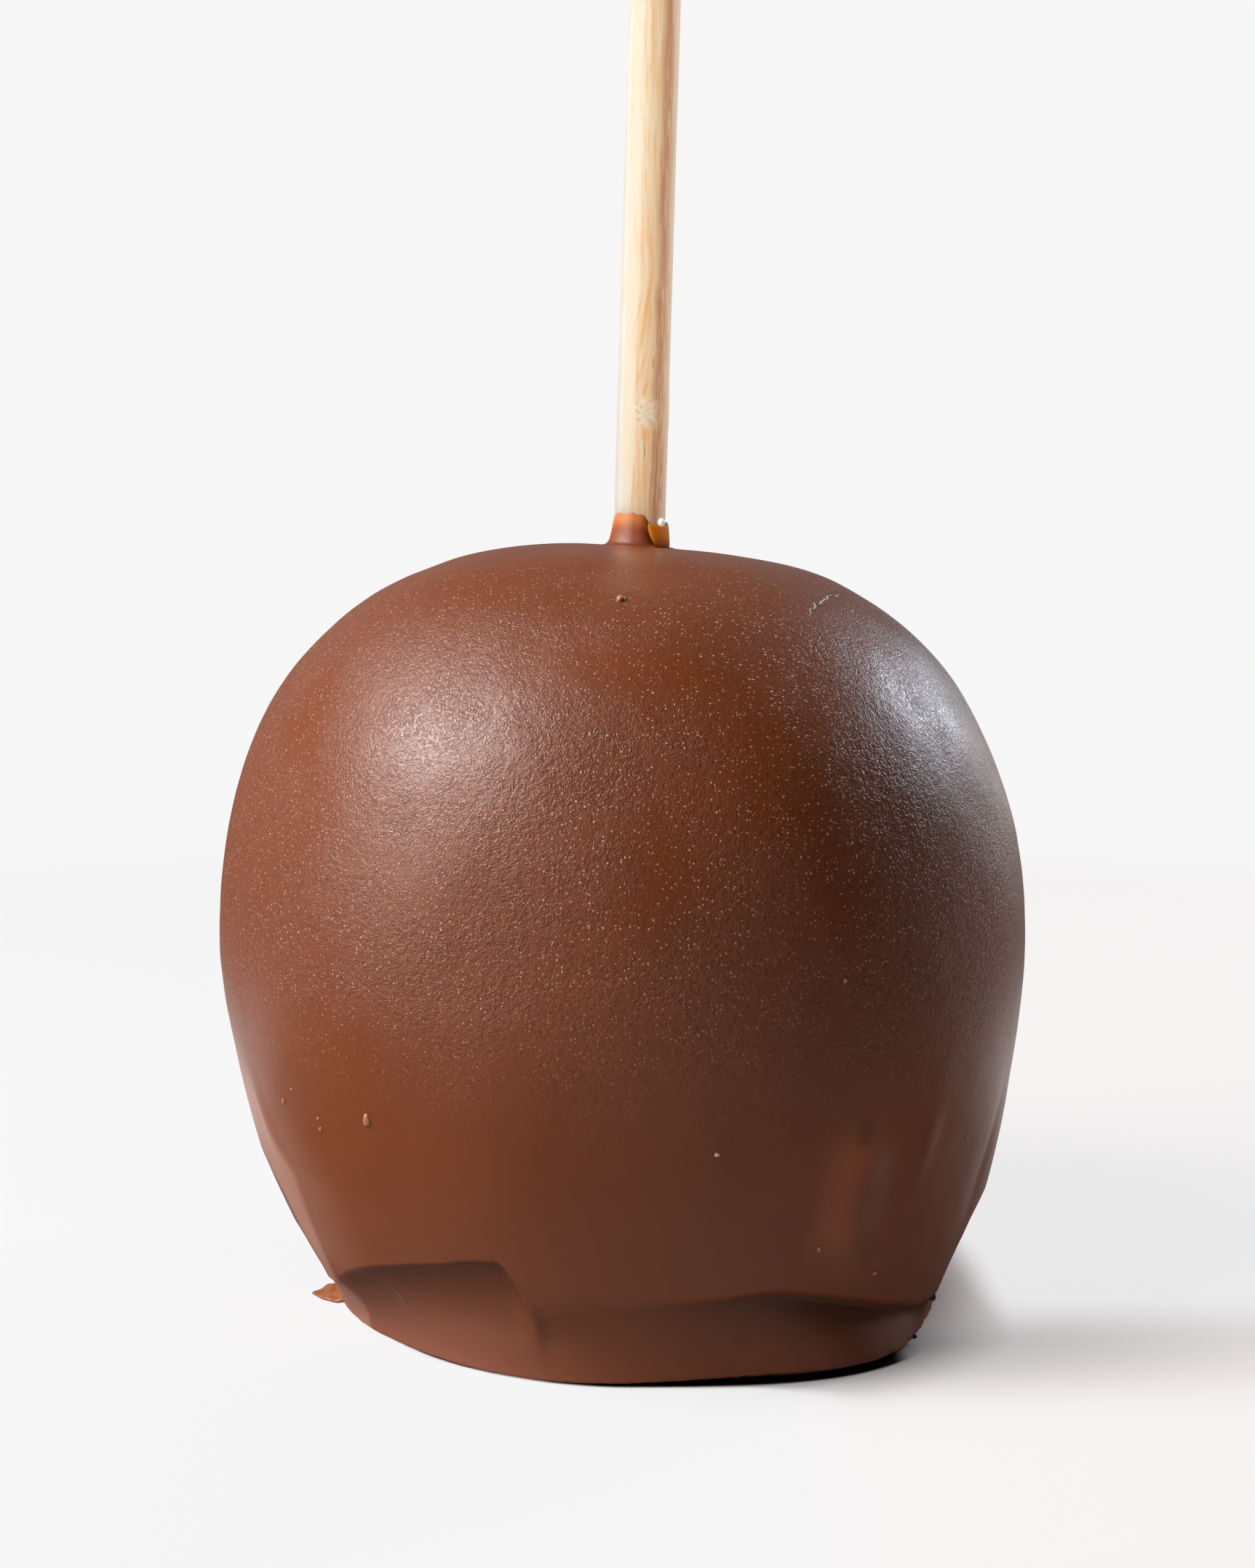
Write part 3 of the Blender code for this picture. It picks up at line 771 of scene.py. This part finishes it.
def beadGrid():
    # a section (out from the stick, up) swept round it, fading at both ends
    turn = fullTurn(bead["around"])
    out = 0.5 + 0.5 * np.sign(np.cos(turn)) * np.abs(np.cos(turn))**0.75
    up = 0.5 + 0.5 * np.sign(np.sin(turn)) * np.abs(np.sin(turn))**0.6
    share = np.linspace(0.0, 1.0, bead["steps"])[:, None]
    full = 0.1 + 0.9 * smoothstep(0.0, 0.05, share) * (1.0 - smoothstep(0.93, 1.0, share))
    base, top = bead["start"]
    angle = np.radians(base + (top - base) * up * (1.0 - share) + (bead["end"] - base) * share)
    wall = bead["wall"][0] + (bead["wall"][1] - bead["wall"][0]) * up
    distance = stick["radius"] - 0.1 + (wall + 0.1) * out * full
    x, y = stick["x"] + distance * np.cos(angle), distance * np.sin(angle)
    tall = bead["height"] * (1.0 + 0.08 * np.sin(3.0 * angle + 1.0))
    z = crownHeight(x, y) - 0.1 + tall * up * full
    return np.stack((x + leanAt(z), y, z), -1)


def caramel():
    graph = Graph(bpy.data.materials.new("caramel"))
    place = graph.place()
    z = graph.split(place)[2]
    amber = graph.mix(graph.noise(place, 700.0, 1.0), *bead["amber"])
    base = graph.mix(z.rise(*bead["clears"]), bead["dark"], amber)
    return graph.finish({"Base Color": base, "Roughness": 0.5, "Specular IOR Level": 0.03,
                         "Subsurface Weight": 0.3, "Subsurface Radius": (1.0, 0.5, 0.15),
                         "Subsurface Scale": 0.002})


def seatOn(grid, normals, places):
    # the grid point nearest to each place, and the place dropped onto the plane through it
    flat, up = grid.reshape(-1, 3), normals.reshape(-1, 3)
    nearest = np.array([np.argmin(((flat - p)**2).sum(1)) for p in places])
    normal = up[nearest]
    off = ((places - flat[nearest]) * normal).sum(1, keepdims=True)
    return places - off * normal, normal


pimples = {
    "rows": 9,
    "columns": 18,
    # place on the coat, half width, half length, height, turn in degrees
    "spots": (
        (-0.2, -27.8, 81.5, 0.48, 0.46, 0.5, 10.0),
        (-26.2, -36.3, 28.5, 0.44, 0.72, 0.3, -14.0),
        (-31.6, -31.1, 26.2, 0.2, 0.26, 0.2, -20.0),
        (-31.8, -31.2, 27.4, 0.12, 0.14, 0.12, 0.0),
        (-36.1, -26.3, 28.0, 0.22, 0.36, 0.2, -25.0),
        (-34.9, -28.5, 29.9, 0.18, 0.1, 0.1, 0.0),
        (9.4, -43.6, 27.0, 0.32, 0.22, 0.2, 0.0),
        (20.3, -36.2, 14.9, 0.2, 0.38, 0.26, 12.0),
        (26.5, -30.6, 10.7, 0.3, 0.22, 0.18, 30.0),
        (37.0, -24.3, 23.6, 0.16, 0.24, 0.14, 0.0),
        (22.2, -40.8, 43.9, 0.24, 0.2, 0.12, 0.0),
    ),
    "cloud": (900.0, 2.0),  # scale per metre, and detail
    "contrast": (0.35, 0.65),
    "tones": ((0.36, 0.15, 0.075), (0.55, 0.3, 0.19)),
    "roughness": 0.3,
}


def pimpleGrids(grid, normals):
    # half ellipsoids over the seats: cos and sin of the rise, turned in the tangent plane
    spots = np.array(pimples["spots"])
    seat, normal = seatOn(grid, normals, spots[:, :3])
    up = np.array([0.0, 0.0, 1.0]) - normal[:, 2:] * normal
    up /= np.linalg.norm(up, axis=1, keepdims=True)
    side = np.cross(up, normal)
    turn = np.radians(spots[:, 6:7])
    side, up = side * np.cos(turn) + up * np.sin(turn), up * np.cos(turn) - side * np.sin(turn)
    rise = np.linspace(-0.35, 0.5 * np.pi * 0.96, pimples["rows"])[:, None]
    angle = fullTurn(pimples["columns"])
    lump = 1.0 + 0.1 * np.sin(3.0 * angle + 2.0) * np.cos(rise)
    points = seat[:, None, None]
    shapes = (np.cos(rise) * np.cos(angle) * lump, np.cos(rise) * np.sin(angle) * lump,
              np.sin(rise))
    for axis, size, shape in zip((side, up, normal), spots[:, 3:6].T, shapes):
        points = points + axis[:, None, None] * size[:, None, None, None] * shape[None, ..., None]
    return points


crack = {
    # a pale crack that wanders over the right shoulder
    "path": ((24.3, -11.4, 81.6), (23.4, -12.9, 81.7), (22.4, -14.8, 81.6), (21.6, -17.9, 80.9),
             (20.9, -19.1, 80.8), (20.4, -20.7, 80.4), (19.7, -22.9, 79.6)),
    "steps": 70,
    "sides": 8,
    "radius": 0.085,
    "wander": ((0.16, 5.0), (0.1, 11.0)),  # how far sideways, and how quickly
    "cloud": (2500.0, 1.0),
    "tones": ((0.3, 0.22, 0.19), (0.55, 0.46, 0.42)),
    "roughness": 0.35,
}


def crackGrid(grid, normals):
    # a round section carried along the path, half sunk in the coat and tapering to both ends
    path = np.array(crack["path"])
    along = np.linspace(0.0, len(path) - 1.0, crack["steps"])
    places = np.stack([np.interp(along, np.arange(len(path)), path[:, i]) for i in range(3)], -1)
    seat, normal = seatOn(grid, normals, places)
    ahead = np.gradient(seat, axis=0)
    ahead /= np.linalg.norm(ahead, axis=1, keepdims=True)
    side = np.cross(ahead, normal)
    wander = sum(reach * np.sin(along * quick) for reach, quick in crack["wander"])
    seat = seat + side * wander[:, None]
    share = np.clip(along / along[-1], 0.02, 0.98)
    size = crack["radius"] * (np.sin(np.pi * share)**0.5 + 0.25 * np.sin(along * 7.0)**2)
    angle = fullTurn(crack["sides"])[:, None]
    section = side[:, None] * np.cos(angle) + normal[:, None] * np.sin(angle)
    return seat[:, None] + section * size[:, None, None]


shards = {
    "rows": 9,
    "columns": 14,
    "pole": 0.47,  # rise of the first and last ring, in half turns
    # broken bits stuck to the foot, and a dark one beside the caramel: middle, half sizes,
    # turn about the vertical
    "bits": (
        (34.3, -18.9, 4.1, 0.42, 0.45, 0.55, 20.0),
        (31.85, -22.65, 0.85, 0.28, 0.26, 0.3, 10.0),
        (12.3, -33.85, 0.48, 0.5, 0.34, 0.4, 40.0),
        (5.6, -0.5, 86.35, 1.0, 0.5, 0.36, 0.0),
    ),
    "cloud": (1500.0, 2.0),
    "contrast": (0.3, 0.7),
    "tones": ((0.02, 0.006, 0.004), (0.075, 0.022, 0.012)),
    "relief": 0.0001,
    "roughness": 0.4,
}


def ballGrid(look):
    # unit directions: cos and sin of the angle round, times cos of the rise, and sin of the rise
    pole = look["pole"] * np.pi
    rise = np.linspace(-pole, pole, look["rows"])[:, None]
    angle = fullTurn(look["columns"])
    return np.stack(np.broadcast_arrays(np.cos(rise) * np.cos(angle),
                                        np.cos(rise) * np.sin(angle), np.sin(rise)), -1)


def shardGrids():
    # lumpy balls: each unit direction is pushed in or out by a few waves, then sized and turned
    bits = np.array(shards["bits"])
    ball = ballGrid(shards)
    swell = np.stack([1.0 + 0.2 * ripples(ball, 60 + i, 10, 1.0, 2.4) for i in range(len(bits))])
    points = ball[None] * swell[..., None] * bits[:, None, None, 3:6]
    turn = np.radians(bits[:, 6])[:, None, None]
    x = points[..., 0] * np.cos(turn) - points[..., 1] * np.sin(turn)
    y = points[..., 0] * np.sin(turn) + points[..., 1] * np.cos(turn)
    return np.stack((x, y, points[..., 2]), -1) + bits[:, None, None, :3]


flake = {
    # outline in plan, seen from above, with the height of its top there
    "outline": ((-36.3, -6.2, 0.12), (-34.6, -4.6, 0.65), (-32.0, -4.2, 0.85), (-31.4, -6.6, 0.85),
                (-31.5, -9.6, 0.6), (-32.9, -9.6, 0.4), (-34.9, -8.1, 0.2)),
    "steps": 10,
    "thickness": 0.5,
    "inmost": 0.15,  # share of the outline at the innermost ring
    "cloud": (600.0, 3.0),
    "contrast": (0.3, 0.7),
    "tones": ((0.25, 0.075, 0.028), (0.33, 0.115, 0.05)),
    "relief": 0.0001,
    "roughness": 0.4,
}


def flakeGrid():
    # rings from near the outline's middle out to it below, and back in over the top
    outline = np.array(flake["outline"])
    count = len(outline)
    along = np.linspace(0.0, count, 8 * count, endpoint=False)
    edge = np.stack([np.interp(along, np.arange(count + 1), np.append(outline[:, i], outline[0, i]))
                     for i in range(3)], -1)
    middle = edge.mean(axis=0)
    upwards = np.array([0.0, 0.0, 1.0])
    shares = np.linspace(flake["inmost"], 1.0, flake["steps"])
    rows = []
    for share in shares:
        ring = middle + (edge - middle) * share
        rows.append(ring - flake["thickness"] * (1.0 - 0.3 * share**6) * upwards)
    for share in shares[::-1]:
        ring = middle + (edge - middle) * share
        rows.append(ring + 0.05 * ripples(ring, 71, 12, 0.8, 2.0)[..., None] * upwards)
    grid = np.array(rows)
    grid[..., 2] = np.maximum(grid[..., 2], 0.0)
    return grid


drop = {
    # a bead of clear syrup on top of the caramel; its near white tones and faint glow are a painted
    # glint
    "middle": (4.43, -2.13, 89.64),
    "radius": 0.44,
    "taller": 1.1,
    "rows": 20,
    "columns": 28,
    "pole": 0.49,
    "cloud": (1200.0, 1.0),
    "tones": ((0.96, 0.95, 0.94), (0.84, 0.82, 0.8)),
    "glint": 0.3,
    "roughness": 0.22,
}


def dropGrid():
    # a ball a little taller than wide
    return ballGrid(drop) * (1.0, 1.0, drop["taller"]) * drop["radius"] + drop["middle"]


studio = {
    "floorSize": 4.0,  # metres from the middle to each side
    "floor": (0.67, 0.67, 0.67),
    "floorShade": (0.76, 0.65, 0.62),
    "floorPaintedShadow": (0.02, 0.01, 0.008),
    "floorGlow": 0.85,
    "shadow": 0.5,
    "mirrorLoss": 0.9,  # how much less the floor gives back to gloss than it shows
    "bounceLoss": 0.85,  # and how much less to everything from far off
    "bounceReach": (100.0, 300.0),
    "footMiddle": (4.0, -2.0),  # the superellipse that stands for the foot's outline
    "footPower": 2.8,
    "footEdge": (33.0, 33.7),
    "backdrop": (0.93, 0.925, 0.925),
    "wall": 0.3,
    "wallReach": (0.2, 0.8),
    "aim": 0.045,  # height that the lights point at, in metres
    "distance": 0.9,  # of every light
    # name, direction round the apple, height in degrees, size, watts, colour
    "lights": (
        ("side", 192.0, 41.0, 0.4, 4.8, (1.0, 1.0, 1.0)),
        ("key", 205.0, 46.0, 0.5, 7.6, (1.0, 1.0, 1.0)),
        ("lowKey", 204.0, 28.0, 0.4, 1.4, (1.0, 1.0, 1.0)),
        ("lowFront", 209.0, 7.0, 0.5, 2.2, (1.0, 1.0, 1.0)),
        ("window", 37.0, 25.0, 0.25, 3.7, (0.82, 0.89, 1.0)),
        ("lowRight", 50.0, 1.0, 0.4, 0.65, (1.0, 0.95, 0.92)),
        ("stickFill", 286.0, 15.0, 0.5, 3.6, (1.0, 0.96, 0.92)),
    ),
    # the camera, level with the apple's shoulder
    "lens": 51.76,
    "cameraPlace": (0.00054, -0.262, 0.087),
    "cameraDip": 6.04,  # degrees below the horizon
}


def makeFloor():
    # a pale floor that glows a little away from the foot, so shadows stay light; it fades into the
    # backdrop's light so that no horizon shows, and gives back less light than it shows
    graph = Graph(bpy.data.materials.new("pale floor"))
    x, y = graph.split(graph.place())[:2]
    away = (x * x + y * y) ** 0.5
    # the foot's outline is close to a superellipse; hardly any light gets under its lifted rim
    middleX, middleY = studio["footMiddle"]
    power = studio["footPower"]
    outline = (abs(x - middleX)**power + abs(y - middleY)**power)**(1.0 / power)
    outline = outline + 1.1 * x.fall(-12.0, 0.0)
    gap = outline + 0.8 * x.fall(-16.0, -6.0) - 0.1 * x.rise(4.0, 16.0)
    # painted shadow: near black under the foot's lifted rim and dark just right of the foot, with a
    # warm painted shade to the right
    under = gap.fall(*studio["footEdge"]) * x.rise(-28.0, -23.0) * x.fall(29.0, 33.0)
    near = away.fall(38.5, 50.0) * x.rise(18.0, 28.0) * y.fall(-25.0, -16.0) * 0.6
    dark = near.largest(under * y.fall(-19.0, -15.0))
    pale = graph.mix(x.rise(10.0, 30.0), studio["floor"], studio["floorShade"])
    pale = graph.mix(dark, pale, studio["floorPaintedShadow"])
    graph.finish({"Base Color": pale, "Roughness": 0.8, "Specular IOR Level": 0.0})
    plain = Wire(graph, graph.shader.outputs[0])
    glow = graph.add("Emission", None, {"Color": studio["backdrop"]})
    black = graph.add("Emission", None, {"Strength": 0.0})
    # the shadow runs off to the right, a little towards the front
    shadow = y.band(-37.0, -15.0, 9.0) * x.rise(10.0, 30.0) * away.fall(45.0, 130.0)
    seen = graph.add("LightPath", output="Is Camera Ray")
    mirrored = seen.sibling("Is Glossy Ray")
    close = ((gap - 33.3) / (1.0 + 7.0 * x.rise(12.0, 28.0))).rise(0.0, 1.0) * seen
    share = away.rise(35.0, 50.0).largest(close) * studio["floorGlow"]
    share = share * (1.0 - studio["shadow"] * shadow) * (1.0 - under)
    share = share.largest(away.rise(110.0, 420.0))
    surface = graph.add("MixShader", None, {0: share, 1: plain, 2: glow})
    loss = mirrored * studio["mirrorLoss"] * y.fall(-20.0, 60.0)
    loss = loss.largest(away.rise(*studio["bounceReach"]) * studio["bounceLoss"])
    lost = (1.0 - seen) * loss
    surface = graph.add("MixShader", None, {0: lost, 1: surface, 2: black})
    graph.fill(graph.tree.nodes["Material Output"].inputs["Surface"], surface)
    reach = studio["floorSize"] / millimetre
    corners = reach * np.array([[[-1.0, -1.0, 0.0], [1.0, -1.0, 0.0]],
                                [[-1.0, 1.0, 0.0], [1.0, 1.0, 0.0]]])
    floor = surfaceMesh("floor", corners[None], graph.owner, closed=False)


def makeWorld():
    # the camera sees a plain pale backdrop; what lights the apple is a pale wall behind it
    graph = Graph(bpy.data.worlds.new("studio"))
    bpy.context.scene.world = graph.owner
    direction = graph.add("TexCoord", output="Generated")
    behind = graph.add("SeparateXYZ", sockets={0: direction}, output="Y")
    strength = behind.rise(*studio["wallReach"]) * studio["wall"]
    wall = graph.add("Background", None, {"Strength": strength})
    backdrop = graph.tree.nodes["Background"]
    graph.fill(backdrop.inputs["Color"], studio["backdrop"])
    seen = graph.add("LightPath", output="Is Camera Ray")
    both = graph.add("MixShader", None,
                     {0: seen, 1: wall, 2: Wire(graph, backdrop.outputs[0])})
    graph.fill(graph.tree.nodes["World Output"].inputs["Surface"], both)


def makeLights(stickPiece, beadPiece):
    # the key light leaves out the pale stick, and a soft fill is for the stick and caramel alone
    allButStick, paleOnes = (bpy.data.collections.new(name) for name in ("allButStick", "paleOnes"))
    allButStick.objects.link(stickPiece)
    allButStick.collection_objects[0].light_linking.link_state = "EXCLUDE"
    for piece in (stickPiece, beadPiece):
        paleOnes.objects.link(piece)
    takers = {"key": allButStick, "stickFill": paleOnes}
    for name, direction, height, size, watts, colour in studio["lights"]:
        light = bpy.data.lights.new(name, "AREA")
        light.shape = "DISK"
        light.size = size
        light.energy = watts
        light.color = colour
        lamp = bpy.data.objects.new(name, light)
        around, rise = math.radians(direction), math.radians(height)
        level = studio["distance"] * math.cos(rise)
        lamp.location = (level * math.cos(around), level * math.sin(around),
                         studio["aim"] + studio["distance"] * math.sin(rise))
        lamp.rotation_euler = (math.pi / 2.0 - rise, 0.0, around + math.pi / 2.0)
        bpy.context.scene.collection.objects.link(lamp)
        if name in takers:
            lamp.light_linking.receiver_collection = takers[name]


def makeCamera():
    camera = bpy.data.cameras.new("camera")
    camera.lens = studio["lens"]
    camera.clip_start = 0.01
    holder = bpy.data.objects.new("camera", camera)
    holder.location = studio["cameraPlace"]
    holder.rotation_euler = (math.radians(90.0 - studio["cameraDip"]), 0.0, 0.0)
    bpy.context.scene.collection.objects.link(holder)
    bpy.context.scene.camera = holder


coatPoints, shares = coatGrid()
coatNormals = gridNormals(coatPoints)
coatPiece = addPiece("chocolateCoat", coatPoints[None], chocolate(), "chocolate", "coated_apple")
for name, values in shares.items():
    addShare(coatPiece, name, values)
stickPiece = addPiece("bambooStick", stickGrid()[None], bamboo(), "bamboo", "stick")
# where a grid's columns run clockwise, they are reversed so that faces point outwards
beadPiece = addPiece("caramelBead", beadGrid()[None, :, ::-1], caramel(),
                     "caramel", "caramel_collar")
addPiece("syrupDrop", dropGrid()[None], mottled("syrup", drop), "caramel")
addPiece("pimples", pimpleGrids(coatPoints, coatNormals), mottled("pale chocolate", pimples),
         "chocolate")
addPiece("bloomCrack", crackGrid(coatPoints, coatNormals)[None, :, ::-1],
         mottled("bloom", crack), "chocolate")
addPiece("footShards", shardGrids(), mottled("broken chocolate", shards), "chocolate")
addPiece("footFlake", flakeGrid()[None, :, ::-1], mottled("broken coat", flake), "chocolate")
makeFloor()
makeWorld()
makeLights(stickPiece, beadPiece)
makeCamera()
bpy.context.scene.view_settings.view_transform = "Standard"
print("studio ready")
